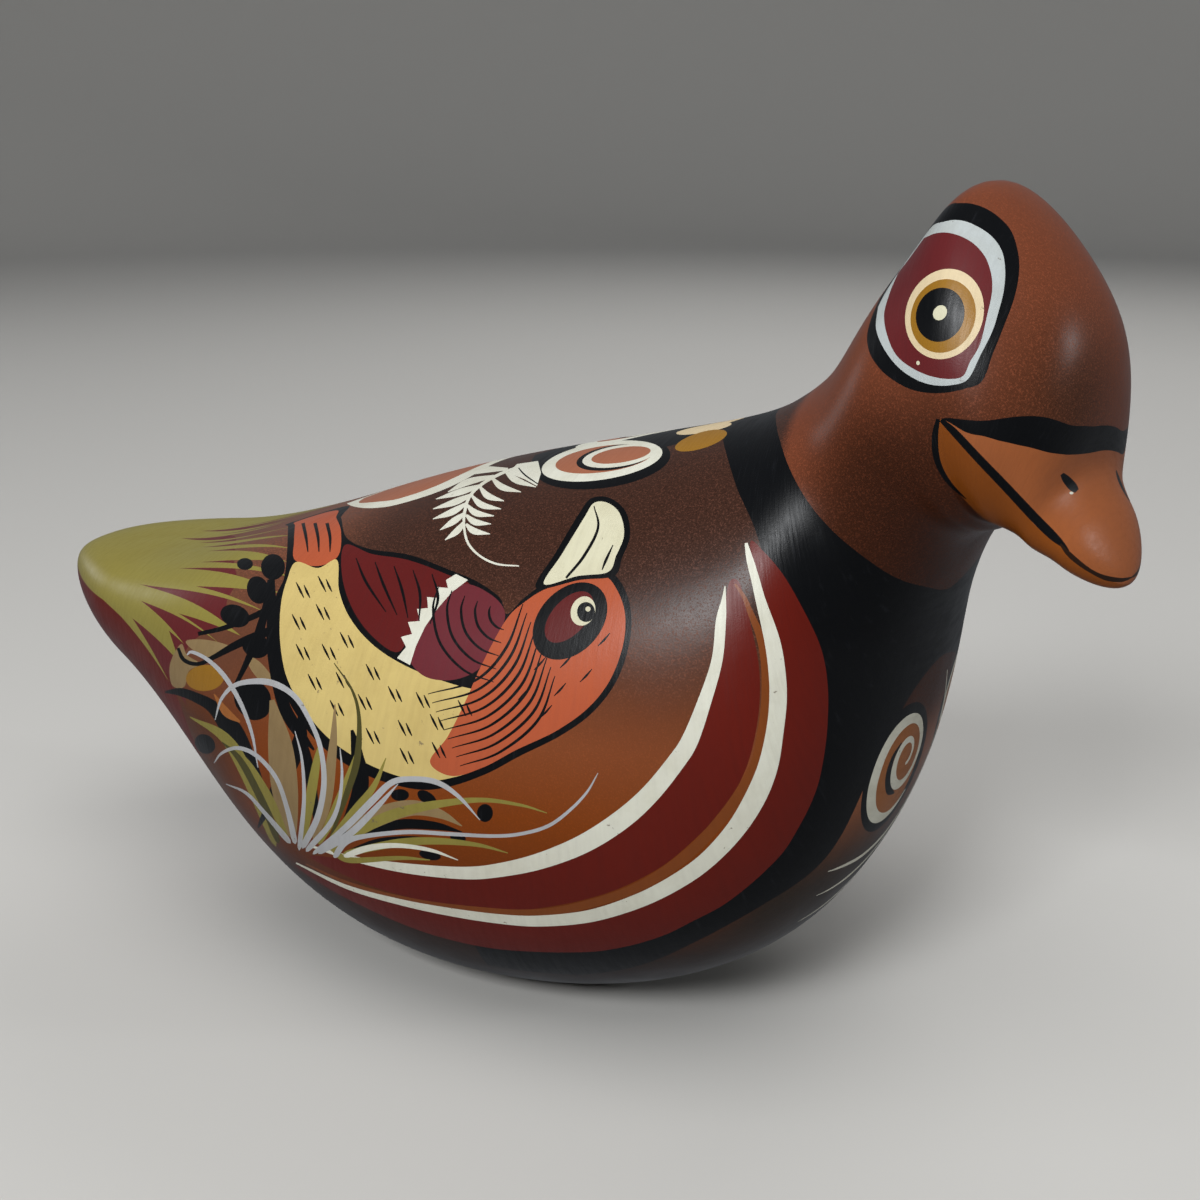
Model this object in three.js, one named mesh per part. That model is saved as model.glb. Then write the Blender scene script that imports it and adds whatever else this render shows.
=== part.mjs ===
// A painted clay bird ornament: one smooth body with a pointed tail, a round breast, a stout neck,
// and a head with a high crown and a broad bill, turned a little towards the bird's right side.
// Millimetres, +Z up, +X towards the breast, origin on the ground under the middle of the bird.
// The surface is a loft through named sections. Each section runs from a point on the back line to
// a point on the belly line, and the sections fan round the throat, so the last ones wrap the bill.

import * as THREE from 'three';

// Overall size
const LENGTH = 235;
const WIDTH = 106;
const HEIGHT = 160;

// Head pose: the neck twists about an upright axis, gently from the breast to the nape
const HEAD_TURN_DEG = 18;
const TURN_AXIS_X = 0.285 * LENGTH;
const TURN_STARTS_AT = 'breast';
const TURN_ENDS_AT = 'nape';

// Fineness of the surface
const POINTS_AROUND = 48;
const RINGS_PER_SECTION = 5;
const RINGS_PER_END = 6;

const CLAY = { color: 0x7a3b1e, roughness: 0.42, metalness: 0.0 };

// Sections from tail to bill. back and belly are [share of LENGTH, share of HEIGHT], width is a
// share of WIDTH, level says how far above the middle the widest place lies, and roundness is the
// power of the sine that shapes the sides. A belly below 0 is cut off flat by the underside.
const SECTIONS = [
  { name: 'tail_end', back: [-0.496, 0.513], belly: [-0.504, 0.345], width: 0.28, level: 0.3, roundness: 0.92 },
  { name: 'tail', back: [-0.375, 0.488], belly: [-0.393, 0.29], width: 0.51, level: 0.45, roundness: 0.92 },
  { name: 'rump', back: [-0.247, 0.531], belly: [-0.31, 0.184], width: 0.73, level: 0.42, roundness: 0.92 },
  { name: 'loin', back: [-0.115, 0.602], belly: [-0.215, 0.056], width: 0.89, level: 0.22, roundness: 0.92 },
  { name: 'mid', back: [0.013, 0.659], belly: [-0.06, -0.018], width: 1, level: 0.05, roundness: 0.92 },
  { name: 'breast', back: [0.128, 0.7], belly: [0.126, 0.004], width: 0.97, level: 0, roundness: 0.92 },
  { name: 'crop', back: [0.204, 0.731], belly: [0.275, 0.129], width: 0.865, level: -0.05, roundness: 0.92 },
  { name: 'neck_base', back: [0.245, 0.763], belly: [0.343, 0.319], width: 0.7, level: -0.05, roundness: 0.92 },
  { name: 'neck', back: [0.276, 0.8], belly: [0.357, 0.497], width: 0.54, level: -0.05, roundness: 0.9 },
  { name: 'throat', back: [0.3, 0.843], belly: [0.379, 0.609], width: 0.48, level: -0.05, roundness: 0.88 },
  { name: 'nape', back: [0.324, 0.898], belly: [0.4, 0.642], width: 0.47, level: -0.05, roundness: 0.86 },
  { name: 'head_back', back: [0.35, 0.955], belly: [0.413, 0.65], width: 0.46, level: -0.15, roundness: 0.86 },
  { name: 'crown', back: [0.384, 0.997], belly: [0.421, 0.658], width: 0.45, level: -0.2, roundness: 0.9 },
  { name: 'forehead', back: [0.436, 0.938], belly: [0.43, 0.661], width: 0.43, level: -0.25, roundness: 0.9 },
  { name: 'front', back: [0.469, 0.857], belly: [0.436, 0.658], width: 0.37, level: -0.25, roundness: 0.88 },
  { name: 'brow', back: [0.474, 0.772], belly: [0.447, 0.653], width: 0.32, level: -0.25, roundness: 0.9 },
  { name: 'notch', back: [0.472, 0.725], belly: [0.458, 0.643], width: 0.29, level: -0.2, roundness: 0.9 },
  { name: 'bill', back: [0.486, 0.689], belly: [0.474, 0.63], width: 0.245, level: -0.15, roundness: 0.95 },
  { name: 'bill_tip', back: [0.511, 0.635], belly: [0.5, 0.596], width: 0.19, level: -0.1, roundness: 0.95 },
];
const LAST = SECTIONS.length - 1;

// One section as numbers in millimetres
function sectionSizes(section) {
  return [
    section.back[0] * LENGTH,
    section.back[1] * HEIGHT,
    section.belly[0] * LENGTH,
    section.belly[1] * HEIGHT,
    section.width * WIDTH / 2,
    section.level,
    section.roundness,
  ];
}

const SIZES = SECTIONS.map(sectionSizes);

// How sharply each size bends at each section, for a natural cubic spline through all of them
function bendsOf(values) {
  const bends = values.map(() => 0);
  const slack = values.map(() => 0);
  for (let k = 1; k < LAST; k += 1) {
    const pull = 6 * (values[k - 1] - 2 * values[k] + values[k + 1]);
    const scale = 4 - slack[k - 1];
    slack[k] = 1 / scale;
    bends[k] = (pull - bends[k - 1]) / scale;
  }
  for (let k = LAST - 1; k > 0; k -= 1) {
    bends[k] -= slack[k] * bends[k + 1];
  }
  return bends;
}

const BENDS = SIZES[0].map((_, k) => bendsOf(SIZES.map((sizes) => sizes[k])));

// The sizes at a place along the bird, counted in sections from the tail
function blendedSizes(along) {
  const index = Math.min(Math.floor(along), LAST - 1);
  const after = along - index;
  const before = 1 - after;
  return SIZES[index].map((value, k) => before * value + after * SIZES[index + 1][k]
    + (before ** 3 - before) / 6 * BENDS[k][index]
    + (after ** 3 - after) / 6 * BENDS[k][index + 1]);
}

// The sections shrink to a point over the first and the last stretch, as a quarter round
function endRounding(along) {
  const fromTail = Math.min(along, 1);
  const fromBill = Math.min(LAST - along, 1);
  return Math.sqrt(1 - (1 - fromTail) ** 2) * Math.sqrt(1 - (1 - fromBill) ** 2);
}

function sectionIndex(name) {
  return SECTIONS.findIndex((section) => section.name === name);
}

function headTurn(along) {
  const start = sectionIndex(TURN_STARTS_AT);
  const end = sectionIndex(TURN_ENDS_AT);
  return -THREE.MathUtils.degToRad(HEAD_TURN_DEG) * THREE.MathUtils.smootherstep(along, start, end);
}

// A point of the surface: angle 0 is the back line, half a turn is the belly line, and the first
// half turn runs down the bird's right side, -Y
function surfacePoint(along, angle) {
  const [backX, backZ, bellyX, bellyZ, halfWidth, level, roundness] = blendedSizes(along);
  const shrink = endRounding(along);
  const rise = Math.cos(angle) + level * Math.sin(angle) ** 2;
  const side = Math.sign(Math.sin(angle)) * Math.abs(Math.sin(angle)) ** roundness;
  const x = (backX + bellyX) / 2 + shrink * rise * (backX - bellyX) / 2;
  const z = (backZ + bellyZ) / 2 + shrink * rise * (backZ - bellyZ) / 2;
  const fromAxis = new THREE.Vector2(x - TURN_AXIS_X, -shrink * side * halfWidth);
  fromAxis.rotateAround(new THREE.Vector2(0, 0), headTurn(along));
  return new THREE.Vector3(TURN_AXIS_X + fromAxis.x, fromAxis.y, Math.max(z, 0));
}

// Places of the rings: even along the body, closer and closer together towards the two ends
function ringPlaces() {
  const places = [];
  for (let k = 1; k < RINGS_PER_END; k += 1) {
    places.push(1 - Math.cos(k / RINGS_PER_END * Math.PI / 2));
  }
  for (let k = 0; k <= (LAST - 2) * RINGS_PER_SECTION; k += 1) {
    places.push(1 + k / RINGS_PER_SECTION);
  }
  for (let k = RINGS_PER_END - 1; k > 0; k -= 1) {
    places.push(LAST - 1 + Math.cos(k / RINGS_PER_END * Math.PI / 2));
  }
  return places;
}

// The closed skin: a point at the tail, the rings, and a point at the bill
function bodyGeometry() {
  const points = [surfacePoint(0, 0)];
  const places = ringPlaces();
  for (const along of places) {
    for (let j = 0; j < POINTS_AROUND; j += 1) {
      points.push(surfacePoint(along, j / POINTS_AROUND * 2 * Math.PI));
    }
  }
  points.push(surfacePoint(LAST, 0));

  const at = (ring, j) => 1 + ring * POINTS_AROUND + j % POINTS_AROUND;
  const lastRing = places.length - 1;
  const faces = [];
  for (let j = 0; j < POINTS_AROUND; j += 1) {
    faces.push(0, at(0, j + 1), at(0, j));
    for (let ring = 0; ring < lastRing; ring += 1) {
      faces.push(at(ring, j), at(ring, j + 1), at(ring + 1, j + 1));
      faces.push(at(ring, j), at(ring + 1, j + 1), at(ring + 1, j));
    }
    faces.push(at(lastRing, j), at(lastRing, j + 1), points.length - 1);
  }

  const geometry = new THREE.BufferGeometry().setFromPoints(points);
  geometry.setIndex(faces);
  geometry.computeVertexNormals();
  return geometry;
}

function birdFigurine() {
  const mesh = new THREE.Mesh(bodyGeometry(), new THREE.MeshStandardMaterial(CLAY));
  mesh.name = 'bird_figurine';
  return mesh;
}

const model = new THREE.Group();
model.add(birdFigurine());

export default model;
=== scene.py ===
import math

import bpy
import numpy as np
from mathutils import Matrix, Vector
from mathutils.bvhtree import BVHTree
from mathutils.geometry import delaunay_2d_cdt


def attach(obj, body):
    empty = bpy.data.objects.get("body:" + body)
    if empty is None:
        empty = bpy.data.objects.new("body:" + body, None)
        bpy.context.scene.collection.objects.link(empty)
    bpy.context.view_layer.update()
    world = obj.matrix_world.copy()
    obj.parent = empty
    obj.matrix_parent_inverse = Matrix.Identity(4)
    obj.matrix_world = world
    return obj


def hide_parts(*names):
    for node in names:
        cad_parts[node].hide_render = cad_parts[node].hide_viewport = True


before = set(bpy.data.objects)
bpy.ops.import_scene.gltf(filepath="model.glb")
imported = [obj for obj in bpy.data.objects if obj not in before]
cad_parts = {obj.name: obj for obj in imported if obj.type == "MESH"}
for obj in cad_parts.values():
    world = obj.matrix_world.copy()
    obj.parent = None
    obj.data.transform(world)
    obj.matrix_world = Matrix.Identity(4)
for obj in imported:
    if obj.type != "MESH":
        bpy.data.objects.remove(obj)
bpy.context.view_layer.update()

NODE = "bird_figurine"

# The bird is one smooth skin. A place on it is (along, angle): along counts the sections from the tail to
# the bill, and angle goes from 0 on the back line to pi on the belly line, above 0 on the near side.
# Paint is laid by pixels of the 1200 x 1200 photograph, and by places where its view is too flat.

# Overall size in metres, and the pose of the head, as the part has them
LENGTH = 0.235
WIDTH = 0.106
HEIGHT = 0.160
HEAD_TURN = math.radians(18)
TURN_AXIS_X = 0.285 * LENGTH
TURN_STARTS_AT = "breast"
TURN_ENDS_AT = "nape"

# Sections from tail to bill: back and belly as shares of LENGTH and HEIGHT, width as a share of
# WIDTH, how far above the middle the widest place lies, and the power that shapes the sides
SECTIONS = {
    "tail_end": ((-0.496, 0.513), (-0.504, 0.345), 0.28, 0.3, 0.92),
    "tail": ((-0.375, 0.488), (-0.393, 0.29), 0.51, 0.45, 0.92),
    "rump": ((-0.247, 0.531), (-0.31, 0.184), 0.73, 0.42, 0.92),
    "loin": ((-0.115, 0.602), (-0.215, 0.056), 0.89, 0.22, 0.92),
    "mid": ((0.013, 0.659), (-0.06, -0.018), 1.0, 0.05, 0.92),
    "breast": ((0.128, 0.7), (0.126, 0.004), 0.97, 0.0, 0.92),
    "crop": ((0.204, 0.731), (0.275, 0.129), 0.865, -0.05, 0.92),
    "neck_base": ((0.245, 0.763), (0.343, 0.319), 0.7, -0.05, 0.92),
    "neck": ((0.276, 0.8), (0.357, 0.497), 0.54, -0.05, 0.9),
    "throat": ((0.3, 0.843), (0.379, 0.609), 0.48, -0.05, 0.88),
    "nape": ((0.324, 0.898), (0.4, 0.642), 0.47, -0.05, 0.86),
    "head_back": ((0.35, 0.955), (0.413, 0.65), 0.46, -0.15, 0.86),
    "crown": ((0.384, 0.997), (0.421, 0.658), 0.45, -0.2, 0.9),
    "forehead": ((0.436, 0.938), (0.43, 0.661), 0.43, -0.25, 0.9),
    "front": ((0.469, 0.857), (0.436, 0.658), 0.37, -0.25, 0.88),
    "brow": ((0.474, 0.772), (0.447, 0.653), 0.32, -0.25, 0.9),
    "notch": ((0.472, 0.725), (0.458, 0.643), 0.29, -0.2, 0.9),
    "bill": ((0.486, 0.689), (0.474, 0.63), 0.245, -0.15, 0.95),
    "bill_tip": ((0.511, 0.635), (0.5, 0.596), 0.19, -0.1, 0.95),
}
NAMES = list(SECTIONS)
LAST = len(NAMES) - 1

# The photograph's camera: its place, its tilt, and its focal length in pixels of the photo
PHOTO_SIDE = 1200
FOCAL_PX = 1500
CAMERA_AZIMUTH = math.radians(25)
CAMERA_TILT = math.radians(18.4)
CAMERA_PAN = math.atan(-3 / FOCAL_PX)
CAMERA_DISTANCE = 0.285
CAMERA_OFFSET_X = 0.015
CAMERA_HEIGHT = 0.1715

# Kinds of paint: the sprayed ground, pale paint that chips, black with brush marks,
# and plain colours
GROUND, LIGHT, DARK, COLOUR = 0, 1, 2, 3

# Paints as they look on the bird: red, green and blue up to 255, and the kind
BARE = (None, GROUND)
BLACK = ((7, 8, 10), DARK)
EVEN_BLACK = ((7, 8, 10), COLOUR)
WHITE = ((190, 190, 177), LIGHT)
EYE_WHITE = ((160, 166, 166), LIGHT)
CREAM = ((190, 173, 140), LIGHT)
PALE = ((186, 183, 158), LIGHT)
MAROON = ((84, 28, 30), COLOUR)
RED = ((84, 20, 12), COLOUR)
LINE = ((108, 56, 22), COLOUR)
OCHRE = ((130, 92, 26), COLOUR)
BILL_TOP = ((134, 76, 42), COLOUR)
BILL_LOW = ((112, 58, 14), COLOUR)
BILL_WORN = ((34, 20, 12), COLOUR)
SALMON = ((140, 86, 62), COLOUR)
OLIVE = ((121, 112, 52), COLOUR)
BLADE = ((121, 112, 52), LIGHT)
OLIVE_DARK = ((66, 62, 30), LIGHT)
TAN = ((122, 102, 70), LIGHT)
LILAC = ((152, 153, 155), LIGHT)
ORANGE = ((154, 74, 46), COLOUR)
YELLOW = ((180, 160, 101), LIGHT)
PLUM = ((90, 35, 41), COLOUR)
WINE = ((80, 22, 21), COLOUR)
NUT = ((136, 82, 38), COLOUR)


def linear(rgb):
    share = np.asarray(rgb, float) / 255
    return np.where(share <= 0.04045, share / 12.92, ((share + 0.055) / 1.055) ** 2.4)


# Shape of the bird

def section_sizes():
    rows = []
    for back, belly, width, level, power in SECTIONS.values():
        rows.append((back[0] * LENGTH, back[1] * HEIGHT, belly[0] * LENGTH, belly[1] * HEIGHT,
                     width * WIDTH / 2, level, power))
    return np.array(rows)


def natural_bends(values):
    system = np.eye(len(values))
    pull = np.zeros_like(values)
    for k in range(1, len(values) - 1):
        system[k, k - 1:k + 2] = (1, 4, 1)
        pull[k] = 6 * (values[k - 1] - 2 * values[k] + values[k + 1])
    return np.linalg.solve(system, pull)


SIZES = section_sizes()
BENDS = natural_bends(SIZES)


def blended_sizes(along):
    index = np.minimum(np.floor(along).astype(int), LAST - 1)
    after = (along - index)[..., None]
    before = 1 - after
    return (before * SIZES[index] + after * SIZES[index + 1]
            + (before ** 3 - before) / 6 * BENDS[index] + (after ** 3 - after) / 6 * BENDS[index + 1])


def smoother(low, high, value):
    t = np.clip((value - low) / (high - low), 0, 1)
    return t ** 3 * (t * (6 * t - 15) + 10)


def surface(along, angle, flat=True):
    along = np.clip(along, 0, LAST)
    sizes = blended_sizes(along)
    back_x, back_z, belly_x, belly_z, half_width, level, power = np.moveaxis(sizes, -1, 0)
    from_tail = np.minimum(along, 1)
    from_bill = np.minimum(LAST - along, 1)
    shrink = np.sqrt(1 - (1 - from_tail) ** 2) * np.sqrt(1 - (1 - from_bill) ** 2)
    rise = np.cos(angle) + level * np.sin(angle) ** 2
    side = np.sign(np.sin(angle)) * np.abs(np.sin(angle)) ** power
    x = (back_x + belly_x) / 2 + shrink * rise * (back_x - belly_x) / 2
    y = -shrink * side * half_width
    z = (back_z + belly_z) / 2 + shrink * rise * (back_z - belly_z) / 2
    turn = -HEAD_TURN * smoother(NAMES.index(TURN_STARTS_AT), NAMES.index(TURN_ENDS_AT), along)
    reach = x - TURN_AXIS_X
    return np.stack([TURN_AXIS_X + reach * np.cos(turn) - y * np.sin(turn),
                     reach * np.sin(turn) + y * np.cos(turn),
                     np.maximum(z, 0) if flat else z], -1)


# Camera, floor and lights

def camera_axes():
    heading = CAMERA_AZIMUTH + CAMERA_PAN
    level = math.cos(CAMERA_TILT)
    forward = np.array([-math.sin(heading) * level, math.cos(heading) * level, -math.sin(CAMERA_TILT)])
    right = np.array([math.cos(heading), math.sin(heading), 0])
    return forward, right, np.cross(right, forward)


CAMERA_PLACE = np.array([
    CAMERA_OFFSET_X + CAMERA_DISTANCE * math.sin(CAMERA_AZIMUTH),
    -CAMERA_DISTANCE * math.cos(CAMERA_AZIMUTH),
    CAMERA_HEIGHT,
])


def make_camera():
    data = bpy.data.cameras.new("camera")
    data.sensor_width = 36
    data.lens = 36 * FOCAL_PX / PHOTO_SIDE
    data.clip_start = 0.01
    camera = bpy.data.objects.new("camera", data)
    camera.location = CAMERA_PLACE
    camera.rotation_euler = (math.pi / 2 - CAMERA_TILT, 0, CAMERA_AZIMUTH + CAMERA_PAN)
    bpy.context.scene.collection.objects.link(camera)
    bpy.context.scene.camera = camera


def make_floor():
    """A round pale floor that rises into a wall all round."""
    flat, bend, height, sides, steps = 1.6, 0.5, 2.0, 96, 12
    profile = [(0.6, 0.0), (flat, 0.0)]
    for k in range(1, steps + 1):
        turn = k / steps * math.pi / 2
        profile.append((flat + bend * math.sin(turn), bend - bend * math.cos(turn)))
    profile.append((flat + bend, height))
    circle = [(math.cos(2 * math.pi * s / sides), math.sin(2 * math.pi * s / sides)) for s in range(sides)]
    points = [(0.0, 0.0, 0.0)]
    for radius, z in profile:
        points += [(radius * x, radius * y, z) for x, y in circle]
    following = [(s + 1) % sides for s in range(sides)]
    faces = [(0, 1 + s, 1 + t) for s, t in enumerate(following)]
    for ring in range(len(profile) - 1):
        inner, outer = 1 + ring * sides, 1 + (ring + 1) * sides
        faces += [(inner + s, outer + s, outer + t, inner + t) for s, t in enumerate(following)]
    mesh = bpy.data.meshes.new("floor")
    mesh.from_pydata(points, [], faces)
    mesh.polygons.foreach_set("use_smooth", [True] * len(faces))
    mesh.materials.append(pale_floor())
    floor = bpy.data.objects.new("floor", mesh)
    floor.visible_glossy = False
    bpy.context.scene.collection.objects.link(floor)


def pale_floor():
    material = bpy.data.materials.new("pale_floor")
    material.use_nodes = True
    shader = material.node_tree.nodes["Principled BSDF"]
    shader.inputs["Base Color"].default_value = (0.42, 0.41, 0.39, 1)
    shader.inputs["Roughness"].default_value = 0.7
    return material


LIGHT_DISTANCE = 1.2
LIGHT_TARGET = Vector((0.02, 0, 0.08))


def add_light(name, azimuth, elevation, size, power, tint, glossy=True):
    """A soft light that faces the bird, from a direction given in degrees."""
    azimuth, elevation = math.radians(azimuth), math.radians(elevation)
    level = math.cos(elevation)
    toward = Vector((level * math.cos(azimuth), level * math.sin(azimuth), math.sin(elevation)))
    data = bpy.data.lights.new(name, "AREA")
    data.shape = "RECTANGLE"
    data.size, data.size_y = size
    data.energy = power
    data.color = tint
    light = bpy.data.objects.new(name, data)
    light.location = LIGHT_TARGET + toward * LIGHT_DISTANCE
    light.rotation_euler = toward.to_track_quat("Z", "Y").to_euler()
    light.visible_glossy = glossy
    bpy.context.scene.collection.objects.link(light)


def make_lights():
    add_light("key", -92, 36, (0.4, 0.3), 13.5, (0.96, 0.98, 1.0))
    add_light("right_side", 12, 18, (0.1, 0.16), 1.8, (0.92, 0.96, 1.0))
    add_light("left_side", 172, 10, (0.3, 0.3), 0.8, (0.95, 0.97, 1.0))
    add_light("overhead", -60, 72, (0.9, 0.9), 10, (1, 1, 1), glossy=False)
    add_light("back_fill", 95, 40, (0.8, 0.8), 5, (1, 1, 1), glossy=False)
    world = bpy.data.worlds.new("studio")
    world.use_nodes = True
    background = world.node_tree.nodes["Background"]
    background.inputs["Color"].default_value = (0.86, 0.9, 0.96, 1)
    background.inputs["Strength"].default_value = 0.2
    bpy.context.scene.world = world
    bpy.context.scene.view_settings.view_transform = "Standard"


# Places on the bird's surface that the pixels of the photo show

def probe():
    """A search tree over a plain mesh of the skin, with the place of each of its points."""
    alongs = np.concatenate([[0.0], np.linspace(0.02, LAST - 0.02, 440), [float(LAST)]])
    angles = np.linspace(-math.pi, math.pi, 241)
    grid_u, grid_v = np.meshgrid(alongs, angles, indexing="ij")
    points = surface(grid_u, grid_v).reshape(-1, 3)
    rows, columns = grid_u.shape
    corner = np.arange(rows * columns).reshape(rows, columns)
    quads = np.stack([corner[:-1, :-1], corner[1:, :-1], corner[1:, 1:], corner[:-1, 1:]], -1)
    quads = quads.reshape(-1, 4)
    faces = np.concatenate([quads[:, [0, 1, 2]], quads[:, [0, 2, 3]]])
    tree = BVHTree.FromPolygons(points.tolist(), faces.tolist())
    return tree, points, faces, np.stack([grid_u.ravel(), grid_v.ravel()], 1)


PROBE = probe()
FORWARD, RIGHT, UP = camera_axes()


def place_on_face(point, face):
    _, points, faces, places = PROBE
    a, b, c = (Vector(points[k]) for k in faces[face])
    ab, ac, ap = b - a, c - a, point - a
    d00, d01, d11, d20, d21 = ab.dot(ab), ab.dot(ac), ac.dot(ac), ap.dot(ab), ap.dot(ac)
    base = d00 * d11 - d01 * d01
    second = (d11 * d20 - d01 * d21) / base if base else 0.0
    third = (d00 * d21 - d01 * d20) / base if base else 0.0
    first_place, second_place, third_place = places[faces[face]]
    return (1 - second - third) * first_place + second * second_place + third * third_place


def nearest_place(point):
    """(along, angle) of the surface point nearest to a point in space."""
    hit, _, face, _ = PROBE[0].find_nearest(Vector(point))
    return place_on_face(hit, face)


def surface_place(pixel):
    """(along, angle) of the surface point that a pixel shows, or of the nearest one beside it."""
    tree = PROBE[0]
    half = PHOTO_SIDE / 2
    aim = FORWARD + RIGHT * (pixel[0] - half) / FOCAL_PX - UP * (pixel[1] - half) / FOCAL_PX
    aim = Vector(aim / np.linalg.norm(aim))
    start = Vector(CAMERA_PLACE)
    hit, _, face, _ = tree.ray_cast(start, aim)
    if hit is None:
        near = start + aim * CAMERA_DISTANCE
        for _ in range(6):
            hit, _, face, _ = tree.find_nearest(near)
            near = start + aim * (hit - start).dot(aim)
    return place_on_face(hit, face)


def surface_axes(place):
    """A point of the surface, with the directions right and up along it as seen from outside."""
    normal = surface_normals(np.array([place], float))[0]
    right = np.cross((0, 0, 1), normal)
    right /= np.linalg.norm(right)
    return surface(np.array(place[0]), np.array(place[1])), right, np.cross(normal, right)


# Curves

def spline(points, spacing, closed=False):
    """Catmull-Rom curve through the points, sampled about every spacing."""
    points = np.asarray(points, float)
    if closed:
        padded = np.vstack([points[-1], points, points[:2]])
    else:
        padded = np.vstack([2 * points[0] - points[1], points, 2 * points[-1] - points[-2]])
    curve = []
    for k in range(1, len(padded) - 2):
        a, b, c, d = padded[k - 1:k + 3]
        count = max(2, int(np.linalg.norm((c - b)[:2]) / spacing) + 1)
        for t in np.arange(count) / count:
            curve.append(0.5 * (2 * b + (c - a) * t + (2 * a - 5 * b + 4 * c - d) * t ** 2
                                + (3 * b - a - 3 * c + d) * t ** 3))
    if not closed:
        curve.append(points[-1])
    return np.array(curve)


def straight(points, spacing):
    """Closed outline with straight edges, sampled about every spacing."""
    points = np.asarray(points, float)
    outline = []
    for start, end in zip(points, np.roll(points, -1, axis=0)):
        count = max(2, int(np.linalg.norm(end - start) / spacing) + 1)
        outline.extend(start + (end - start) * t for t in np.arange(count) / count)
    return np.array(outline)


def ribbon(points, spacing):
    """Outline of a brush stroke: points are (x, y, width)."""
    curve = spline(points, spacing)
    line, width = curve[:, :2], np.maximum(curve[:, 2], 0.4 * spacing / OUTLINE_STEP)
    ahead = np.gradient(line, axis=0)
    ahead /= np.linalg.norm(ahead, axis=1)[:, None] + 1e-9
    side = np.stack([-ahead[:, 1], ahead[:, 0]], 1) * width[:, None] / 2
    return np.vstack([line + side, (line - side)[::-1]])


def ellipse(centre, radii, tilt=0.0, spacing=2.5):
    count = max(12, int(2 * math.pi * max(radii) / spacing))
    turn = np.arange(count) / count * 2 * math.pi
    across, down = radii[0] * np.cos(turn), radii[1] * np.sin(turn)
    lean = math.radians(tilt)
    return np.stack([centre[0] + across * math.cos(lean) - down * math.sin(lean),
                     centre[1] + across * math.sin(lean) + down * math.cos(lean)], 1)


# Paint layers, from the first to the last

LAYERS = []
OUTLINE_STEP = 2.6  # pixels between the points of a painted outline
PLACE_STEP = 0.06  # the same for an outline given by places
TRAIL_STEP = 0.05
DETAIL_STEP = 0.5  # millimetres between the points of a small outline


def lay(outline, paint, both_sides):
    """Adds a layer; one for both sides ends at the middle line and is repeated beyond it."""
    outline = np.array(outline, float)
    outline[:, 1] = np.unwrap(outline[:, 1])
    if both_sides:
        if outline[:, 1].mean() < -math.pi / 2:
            outline[:, 1] += 2 * math.pi
        outline[:, 1] = np.clip(outline[:, 1], 0, math.pi)
    for mirror in ((1, -1) if both_sides else (1,)):
        shape = outline * (1, mirror)
        for shift in (-2 * math.pi, 0, 2 * math.pi):
            moved = shape + (0, shift)
            if moved[:, 1].max() > -math.pi and moved[:, 1].min() < math.pi:
                LAYERS.append((moved, paint))


def on_skin(pixels):
    return np.array([surface_place(pixel) for pixel in pixels])


def area(paint, pixels, both_sides=False, smooth=True, beyond=()):
    """An area round pixels; the places in `beyond` close it where the photo can't show it."""
    if beyond:
        seen = on_skin(spline(pixels, OUTLINE_STEP))
        hidden = spline([tuple(seen[-1]), *beyond, tuple(seen[0])], TRAIL_STEP)
        outline = np.vstack([seen, hidden[1:-1]])
    elif smooth:
        outline = on_skin(spline(pixels, OUTLINE_STEP, closed=True))
    else:
        outline = on_skin(straight(pixels, OUTLINE_STEP))
    lay(outline, paint, both_sides)


def stroke(paint, points, both_sides=False):
    """A brush stroke through pixels given as (x, y, width)."""
    lay(on_skin(ribbon(points, OUTLINE_STEP)), paint, both_sides)


def ovals(shapes, both_sides=False):
    """Ovals from a list of (paint, centre, radii, tilt), in pixels and degrees."""
    for paint, centre, radii, tilt in shapes:
        lay(on_skin(ellipse(centre, radii, tilt)), paint, both_sides)


def field(paint, places, both_sides=True):
    """An area given by (along, angle) places with straight edges between them."""
    lay(straight(places, PLACE_STEP), paint, both_sides)


def curve_places(places):
    return spline(places, PLACE_STEP).tolist()


def decal(paint, place, outline):
    """An outline in millimetres to the right of a place and above it, wrapped onto the skin."""
    point, right, up = surface_axes(place)
    lay([nearest_place(point + (right * x + up * y) / 1000) for x, y in outline], paint, False)


def trail(paint, points, both_sides=False):
    """A brush stroke through (along, angle, width in millimetres) points."""
    curve = spline(points, TRAIL_STEP)
    line = surface(curve[:, 0], curve[:, 1])
    side = np.cross(surface_normals(curve[:, :2]), np.gradient(line, axis=0))
    side *= (np.maximum(curve[:, 2], 0.1) / 2000 / np.linalg.norm(side, axis=1))[:, None]
    rim = np.vstack([line + side, (line - side)[::-1]])
    lay([nearest_place(point) for point in rim], paint, both_sides)


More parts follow.
